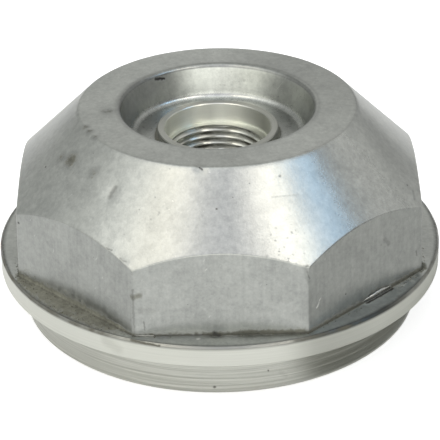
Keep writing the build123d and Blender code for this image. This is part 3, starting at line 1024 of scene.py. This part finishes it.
# Painted light and shade on the flange's edge: lighter in front, and darkened on the right where it would
# mirror a bright highlight
EDGE_LIGHT_AND_SHADE = [
    (-180, 1.0), (-18, 1.0), (-8, 1.2), (10, 1.2), (18, 0.9), (26, 0.35), (46, 0.35), (58, 1.0), (180, 1.0),
]
FAR_STRIP = [(-180, 0.84), (-78, 0.84), (-69, 1.0), (69, 1.0), (78, 0.86), (180, 0.86)]
SMUDGE_SHADE = 0.5
worn = np.ones(len(corners))
for surface_points, table in (
    (in_recess, IN_RECESS),
    (on_the_flats, ON_FLATS),
    (at_fillet, AT_FILLET),
    (on_the_shoulder, ON_SLOPE),
    (on_the_top, ON_TOP),
    (in_the_bore, IN_BORE),
    (on_the_rim, ON_RIM),
):
    worn = np.where(surface_points, by_bearing(table), worn)
for surface_points, table in ((on_edge, EDGE_LIGHT_AND_SHADE), (on_the_strip, FAR_STRIP)):
    worn = np.where(surface_points, worn * by_bearing(table), worn)
worn *= 1 - SMUDGE_SHADE * smudged
store(cap_mesh, "tone", stored_on(cap_mesh, "tone") * worn)
print("tone by bearing: from", round(worn.min(), 2), "to", round(worn.max(), 2))

# %% Polish, with the place on the right of the shoulder that was rubbed
RUBBED = [(-180, 0.0), (30, 0.0), (42, 0.8), (58, 0.8), (72, 0.0), (180, 0.0)]
rubbed = np.where(on_the_shoulder, by_bearing(RUBBED), 0.0)
store(cap_mesh, "polish", np.maximum(stored_on(cap_mesh, "polish"), rubbed))
print("rubbed points:", int((rubbed > 0).sum()))

# %% [markdown]
# ## The flash
# Where the two halves of a mould meet, a thin film of metal squeezes out. Most of it was trimmed, but a
# sliver is left at the foot of the right flat, bent up off the flange, and a thinner one in front on
# the left. A sliver is a ribbon that follows a line, so a tree sweeps a flat section along it, lets it
# taper to nothing at both ends and tears its edge with a noise.

# %% Lines that the slivers follow, in millimetres, with the width of each point
SLIVERS = [
    [(37.6, -40.3, 18.95, 0.8), (40.2, -38.2, 19.2, 1.6), (42.8, -35.5, 19.3, 1.8), (45.9, -32.4, 19.0, 1.0)],
    [(-22.6, -55.25, 18.65, 0.25), (-20.0, -55.3, 18.65, 0.3), (-17.4, -55.3, 18.65, 0.5)],
]
line_points = []
line_edges = []
for sliver in SLIVERS:
    first = len(line_points)
    line_points += sliver
    line_edges += [(first + k, first + k + 1) for k in range(len(sliver) - 1)]
flash = new_piece("casting_flash", [Vector(point[:3]) * MM for point in line_points], line_edges)
store(flash.data, "breadth", [point[3] * MM for point in line_points])
print("sliver lines:", len(SLIVERS), "with", len(line_points), "points")

# %% Tree: a torn ribbon along each line
flash_tree, given = new_tree(
    "torn_flash",
    {
        "Step": "Float",
        "Thickness": "Float",
        "Tilt": "Float",
        "Tear": "Float",
        "Tear Size": "Float",
        "Metal": "Material",
    },
)
line = add(flash_tree, "GeometryNodeMeshToCurve", (given["Geometry"],))[0]
even = {"Curve": line, "Length": given["Step"]}
fine_line = add(flash_tree, "GeometryNodeResampleCurve", even, mode="LENGTH")[0]
upright = add(flash_tree, "GeometryNodeSetCurveNormal", (fine_line,), mode="Z_UP")[0]
tilted = add(flash_tree, "GeometryNodeSetCurveTilt", (upright, True, given["Tilt"]))[0]
along = add(flash_tree, "GeometryNodeSplineParameter")["Factor"]
half_turn = add(flash_tree, MATH, (along, pi), operation="MULTIPLY")[0]
bow = add(flash_tree, MATH, (half_turn,), operation="SINE")[0]
clear_bow = add(flash_tree, MATH, (bow, 0.02), operation="MAXIMUM")[0]
taper = add(flash_tree, MATH, (clear_bow, 0.5), operation="POWER")[0]
breadth = add(flash_tree, STORED, ("breadth",), **FLOAT)[0]
ribbon = add(flash_tree, MATH, (taper, breadth), operation="MULTIPLY")[0]
profile = add(flash_tree, "GeometryNodeCurvePrimitiveQuadrilateral", (given["Thickness"], 1.0))[0]
sweep = {"Curve": tilted, "Profile Curve": profile, "Scale": ribbon, "Fill Caps": True}
strip = add(flash_tree, "GeometryNodeCurveToMesh", sweep)[0]
tear_scale = add(flash_tree, MATH, (1.0, given["Tear Size"]), operation="DIVIDE")[0]
tears = add(flash_tree, NOISE, {"Scale": tear_scale, "Detail": 2.0})["Color"]
tear_signed = add(flash_tree, VECTOR, (tears, (0.5, 0.5, 0.5)), operation="SUBTRACT")[0]
tear_move = add(flash_tree, VECTOR, {0: tear_signed, "Scale": given["Tear"]}, operation="SCALE")[0]
torn = add(flash_tree, MOVE, {"Geometry": strip, "Offset": tear_move})[0]
real = add(flash_tree, REALIZE, (torn,))[0]
finished = add(flash_tree, SET_MATERIAL, (real, True, given["Metal"]))[0]
add(flash_tree, "NodeGroupOutput", (finished,))
print("flash tree:", len(flash_tree.nodes), "nodes")

# %% Material: torn aluminium flash, bright where it broke
flash_metal, tree = new_material("torn_aluminium_flash")
where = add(tree, COORDINATES)["Object"]
break_noise = add(tree, NOISE, {"Vector": where, "Scale": per_mm(0.7), "Detail": 4.0})[0]
colour = add(tree, MIX, (break_noise, linear("#b9b9b4"), linear("#e0e0dc")), **RGB)[2]
rough = add(tree, RANGE, (break_noise, *MOST_NOISE, 0.3, 0.5))[0]
bump = add(tree, "ShaderNodeBump", {"Strength": 0.5, "Distance": 0.05 * MM, "Height": break_noise})[0]
surface = add(
    tree,
    SURFACE,
    {"Base Color": colour, "Metallic": 1.0, "Roughness": rough, "Normal": bump},
)[0]
add(tree, OUTPUT, (surface,))
run_tree(
    flash,
    flash_tree,
    {
        "Step": 0.3 * MM,
        "Thickness": 0.25,
        "Tilt": radians(25),
        "Tear": 0.35 * MM,
        "Tear Size": 0.8 * MM,
        "Metal": flash_metal,
    },
)
flash_mesh = plain_mesh(flash)
flash_points = np.array([v.co for v in flash_mesh.vertices]) / MM
lowest, highest = flash_points.min(0).round(2), flash_points.max(0).round(2)
print("flash:", len(flash_mesh.polygons), "faces from", lowest, "to", highest)

# %% [markdown]
# ## Dried grease
# The grime isn't only a colour: it dried in crumbs along the foot of the flats. Hundreds of them are
# scattered by a tree. It walks round the foot, keeps a crumb where a random draw is below the amount of
# grime there, moves it out over the flange by a second draw, and gives each its own size and turn.

# %% The line of the foot, with how much grease lies there and how far out it spreads
FLANGE_MARGIN, LEAST_GRIME, LEAST_SPREAD = 0.8, 0.5, 0.08
foot_row = np.flatnonzero(on_the_strip & np.isclose(share_of, 0.0))
foot_row = foot_row[np.argsort(bearing[foot_row])]
grease = new_piece("dried_grease", corners[foot_row].tolist(), ring(len(foot_row)))
strip_width = (FLANGE_RADIUS - FLANGE_MARGIN - from_centre[foot_row]) * MM
spreads = strip_width * np.clip(strip_level[foot_row] * 1.3, LEAST_SPREAD, 1)
store(grease.data, "amount", np.clip(foot_level[foot_row] - LEAST_GRIME, 0, 1))
store(grease.data, "spread", spreads)
print("foot line:", len(foot_row), "points, spread up to", round(spreads.max() / MM, 1), "mm")

# %% Tree: crumbs scattered along the foot
grease_tree, given = new_tree(
    "grease_crumbs",
    {
        "Tries": "Int",
        "Seed": "Int",
        "Smallest": "Float",
        "Largest": "Float",
        "Grease": "Material",
    },
)
RANDOM = "FunctionNodeRandomValue"
seeds = [add(grease_tree, MATH, (given["Seed"], float(k)), operation="ADD")[0] for k in range(4)]
line = add(grease_tree, "GeometryNodeMeshToCurve", (given["Geometry"],))[0]
walk = {"Curve": line, "Count": given["Tries"]}
tries = add(grease_tree, "GeometryNodeCurveToPoints", walk, mode="COUNT")[0]
amount = add(grease_tree, STORED, ("amount",), **FLOAT)[0]
draw = add(grease_tree, RANDOM, (0.0, 1.0, None, seeds[0]), **FLOAT)[1]
missed = add(grease_tree, "FunctionNodeCompare", (draw, amount), operation="GREATER_THAN")[0]
kept = add(grease_tree, "GeometryNodeDeleteGeometry", (tries, missed), domain="POINT")[0]
spread = add(grease_tree, STORED, ("spread",), **FLOAT)[0]
far_draw = add(grease_tree, RANDOM, (0.0, 1.0, None, seeds[1]), **FLOAT)[1]
far_share = add(grease_tree, MATH, (far_draw, 2.0), operation="POWER")[0]
far_out = add(grease_tree, MATH, (far_share, spread), operation="MULTIPLY")[0]
spot = add(grease_tree, "GeometryNodeInputPosition")[0]
level = add(grease_tree, VECTOR, (spot, (1.0, 1.0, 0.0)), operation="MULTIPLY")[0]
outward = add(grease_tree, VECTOR, (level,), operation="NORMALIZE")[0]
shift = add(grease_tree, VECTOR, {0: outward, "Scale": far_out}, operation="SCALE")[0]
spread_out = add(grease_tree, MOVE, {"Geometry": kept, "Offset": shift})[0]
crumb = add(grease_tree, "GeometryNodeMeshIcoSphere", (1.0, 1))[0]
size_limits = (given["Smallest"], given["Largest"], None, seeds[2])
size = add(grease_tree, RANDOM, size_limits, **FLOAT)[1]
flat_size = add(grease_tree, VECTOR, {0: (1.0, 0.75, 0.5), "Scale": size}, operation="SCALE")[0]
turn_limits = ((-0.4, -0.4, 0.0), (0.4, 0.4, 2 * pi), None, seeds[3])
turn = add(grease_tree, RANDOM, turn_limits, data_type="FLOAT_VECTOR")[0]
crumbs = add(
    grease_tree,
    "GeometryNodeInstanceOnPoints",
    {"Points": spread_out, "Instance": crumb, "Rotation": turn, "Scale": flat_size},
)[0]
real = add(grease_tree, REALIZE, (crumbs,))[0]
finished = add(grease_tree, SET_MATERIAL, (real, True, given["Grease"]))[0]
add(grease_tree, "NodeGroupOutput", (finished,))
print("grease tree:", len(grease_tree.nodes), "nodes")

# %% Material: dried grease and road dirt, dull and olive brown
grease_dirt, tree = new_material("dried_grease_and_dirt")
where = add(tree, COORDINATES)["Object"]
lumps = add(tree, NOISE, {"Vector": where, "Scale": per_mm(1.5), "Detail": 4.0})[0]
lump_tone = add(tree, RANGE, (lumps, *MOST_NOISE, 0.0, 1.0))[0]
colour = add(tree, MIX, (lump_tone, linear("#2c2b21"), linear("#58563f")), **RGB)[2]
rough = add(tree, RANGE, (lumps, *MOST_NOISE, 0.65, 0.85))[0]
surface = add(tree, SURFACE, {"Base Color": colour, "Roughness": rough})[0]
add(tree, OUTPUT, (surface,))
run_tree(
    grease,
    grease_tree,
    {"Tries": 1600, "Seed": 7, "Smallest": 0.07 * MM, "Largest": 0.24 * MM, "Grease": grease_dirt},
)
grease_mesh = plain_mesh(grease)
grease_mesh.shade_smooth()
print("dried grease:", len(grease_mesh.polygons), "faces in", len(grease_mesh.polygons) // 20, "crumbs")

# %% [markdown]
# ## The camera
# The camera stands where the photographer stood. Its place, its turn and its focal length were fitted
# to the edges of the cap, so the outline falls where it should. The focal length is given for a
# picture 440 pixels wide, and the small roll is the tilt of the hand that held the camera.

# %% Camera
PICTURE_WIDTH = 440
FOCAL_PIXELS = 2152.26
CAMERA_PLACE = Vector((0, -532.98, 309.79)) * MM
camera_data = bpy.data.cameras.new("photo_camera")
camera_data.sensor_width = 36.0
camera_data.lens = camera_data.sensor_width * FOCAL_PIXELS / PICTURE_WIDTH
camera_data.clip_start = 0.01
camera = bpy.data.objects.new("photo_camera", camera_data)
bpy.context.scene.collection.objects.link(camera)
CAMERA_PITCH, CAMERA_YAW, CAMERA_ROLL = 28.32, 0.019, -0.956
pitch, yaw, roll = (radians(turn) for turn in (CAMERA_PITCH, CAMERA_YAW, CAMERA_ROLL))
forward = Vector((sin(yaw) * cos(pitch), cos(yaw) * cos(pitch), -sin(pitch)))
level_right = Vector((cos(yaw), -sin(yaw), 0))
level_up = level_right.cross(forward)
right = level_right * cos(roll) + level_up * sin(roll)
up = level_up * cos(roll) - level_right * sin(roll)
turn = Matrix((right, up, -forward)).transposed()
camera.matrix_world = Matrix.Translation(CAMERA_PLACE) @ turn.to_4x4()
bpy.context.scene.camera = camera
print("camera lens:", round(camera_data.lens, 1), "mm")

# %% [markdown]
# ## The floor
# The cap stands on a white sheet. The sheet is a plain diffuse paper that takes the cap's shadow, with
# a little glow of its own that only the camera and the metal's reflections see, so that the background
# comes out white without more light on the cap.

# %% Floor
HALF_FLOOR = 6.0
FLOOR_DROP = -0.02 * MM
SQUARE = ((-1, -1), (1, -1), (1, 1), (-1, 1))
floor_corners = [(sx * HALF_FLOOR, sy * HALF_FLOOR, FLOOR_DROP) for sx, sy in SQUARE]
floor = new_piece("floor", floor_corners, faces=[(0, 1, 2, 3)])
PAPER_WHITE = linear("#dadada")
floor_white, tree = new_material("white_paper_floor")
light_path = add(tree, "ShaderNodeLightPath")
seen = add(tree, MATH, (light_path["Is Camera Ray"], light_path["Is Glossy Ray"]), operation="MAXIMUM")[0]
seen = add(tree, MATH, (seen, light_path["Is Transmission Ray"]), operation="MAXIMUM")[0]
paper = add(tree, "ShaderNodeBsdfDiffuse", {"Color": PAPER_WHITE})[0]
open_level = add(tree, MATH, (light_path["Is Camera Ray"], 0.3), operation="MULTIPLY")[0]
level = add(tree, MATH, (seen, 0.3, open_level), operation="MULTIPLY_ADD")[0]
glow = add(tree, "ShaderNodeEmission", {"Color": (1, 1, 1, 1), "Strength": level})[0]
both = add(tree, "ShaderNodeAddShader", (paper, glow))[0]
add(tree, OUTPUT, (both,))
floor.data.materials.append(floor_white)
print("floor:", 2 * HALF_FLOOR, "m wide")

# %% [markdown]
# ## The light
# Bare metal shows little of its own: what the eye sees is the room in it. The photo's bright bands on
# the shoulder are lamps overhead to the left and right, the blue streak is a window, and the pale front
# is light from low down. So the world is a dim grey room with soft round patches of light, each given
# by its direction and its tightness, and each fading out smoothly from its middle.

# %% World: a grey room with soft patches of light
AMBIENT = (0.14, 0.14, 0.14)
SOFT_LIGHTS = [
    ("front_left_low", -45, 12, 10, (1.5, 1.5, 1.33)),
    ("front_low", -5, 12, 10, (1.35, 1.34, 1.25)),
    ("front_right_low", 25, 12, 14, (1.55, 1.56, 1.45)),
    ("overhead", -22, 60, 8, (0.44, 0.45, 0.62)),
    ("overhead_left", -46, 58, 60, (2.6, 2.35, 1.8)),
    ("overhead_left_wide", -75, 50, 20, (1.1, 1.11, 1.05)),
    ("overhead_right", 46, 58, 90, (2.35, 2.3, 2.35)),
    ("overhead_right_warm", 52, 55, 90, (3.9, 3.55, 2.95)),
    ("blue_window", 80, 47, 150, (1.7, 2.9, 4.3)),
    ("back_high", 180, 40, 12, (0.24, 0.23, 0.22)),
    ("back_low", 180, 14, 14, (0.42, 0.43, 0.42)),
    ("back_left", -150, 30, 8, (0.3, 0.31, 0.29)),
    ("left", -100, 20, 6, (0.5, 0.51, 0.5)),
    ("right", 118, 28, 7, (0.68, 0.68, 0.66)),
    ("zenith", 0, 88, 10, (1.0, 1.04, 0.98)),
]
world = bpy.data.worlds.new("studio")
bpy.context.scene.world = world
world.use_nodes = True
tree = world.node_tree
tree.nodes.clear()
looking = add(tree, COORDINATES)["Generated"]
facing = add(tree, VECTOR, (looking,), operation="NORMALIZE")[0]
glow = add(tree, "ShaderNodeBackground", {"Color": (*AMBIENT, 1.0)})[0]
for name, azimuth, elevation, tightness, colour in SOFT_LIGHTS:
    az, el = radians(azimuth), radians(elevation)
    aim = (sin(az) * cos(el), -cos(az) * cos(el), sin(el))
    near = add(tree, VECTOR, (facing, aim), operation="DOT_PRODUCT")["Value"]
    fall = add(tree, MATH, (near, tightness, -tightness), operation="MULTIPLY_ADD")[0]
    level = add(tree, MATH, (fall,), operation="EXPONENT")[0]
    light = add(tree, "ShaderNodeBackground", {"Color": (*colour, 1.0), "Strength": level})[0]
    glow = add(tree, "ShaderNodeAddShader", (glow, light))[0]
add(tree, "ShaderNodeOutputWorld", (glow,))
bpy.context.scene.view_settings.view_transform = "Standard"
print("soft lights:", [entry[0] for entry in SOFT_LIGHTS])

# %% [markdown]
# ## A grey card
# On the right, the spigot and the flange mirror a floor that is darker near the cap. A grey card on
# the floor paints that shade in. Only the metal's reflections see it: the camera and the shadows don't.

# %% Grey card on the right
CARD_INNER, CARD_OUTER, CARD_LIFT = 56 * MM, 600 * MM, 0.3 * MM
CARD_DARK, CARD_PALE = 66 * MM, 82 * MM
CARD_BEGINS, CARD_FULL = radians(19), radians(33)
card_turns = [radians(turn) for turn in range(18, 127, 6)]
card_rim = []
for reach in (CARD_INNER, CARD_OUTER):
    card_rim += [(reach * sin(turn), -reach * cos(turn), CARD_LIFT) for turn in card_turns]
n = len(card_turns)
card = new_piece("grey_card", card_rim, faces=[(k, k + n, k + n + 1, k + 1) for k in range(n - 1)])
card_grey, tree = new_material("grey_card")
where = add(tree, COORDINATES)["Object"]
outwards = add(tree, VECTOR, (where,), operation="LENGTH")["Value"]
card_x, card_y = add(tree, "ShaderNodeSeparateXYZ", (where,))[:2]
towards = add(tree, MATH, (card_y, -1.0), operation="MULTIPLY")[0]
card_bearing = add(tree, MATH, (card_x, towards), operation="ARCTAN2")[0]
begins = add(tree, RANGE, (card_bearing, CARD_BEGINS, CARD_FULL, 1.0, 0.0), **SMOOTH)[0]
fades = add(tree, RANGE, (outwards, CARD_DARK, CARD_PALE, 0.0, 0.9))[0]
far = add(tree, MATH, (begins, fades), operation="MAXIMUM")[0]
# Painted shade on the floor as the metal mirrors it, fading to the paper's white further out and towards the
# front
greys = add(tree, MIX, (far, linear("#94948e"), PAPER_WHITE), **RGB)[2]
paper = add(tree, "ShaderNodeBsdfDiffuse", {"Color": greys})[0]
card_glow = add(tree, MATH, (begins, 0.3), operation="MULTIPLY")[0]
shine = add(tree, "ShaderNodeEmission", {"Color": (1, 1, 1, 1), "Strength": card_glow})[0]
both = add(tree, "ShaderNodeAddShader", (paper, shine))[0]
add(tree, OUTPUT, (both,))
card.data.materials.append(card_grey)
card.visible_camera = False
card.visible_diffuse = False
card.visible_shadow = False
print("grey card:", n - 1, "faces")

# %% [markdown]
# ## Handing over
# The cap stands for the CAD node and moves with the only body. The flash and the grease ride along.
# Working attributes are removed from the mesh.

# %% Hand the pieces over
for name in ROW_MARKS:
    if name not in ("tone", "polish"):
        cap_mesh.attributes.remove(cap_mesh.attributes[name])
for piece in (cap, flash, grease):
    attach(piece, "root")
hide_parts("hub_cap")
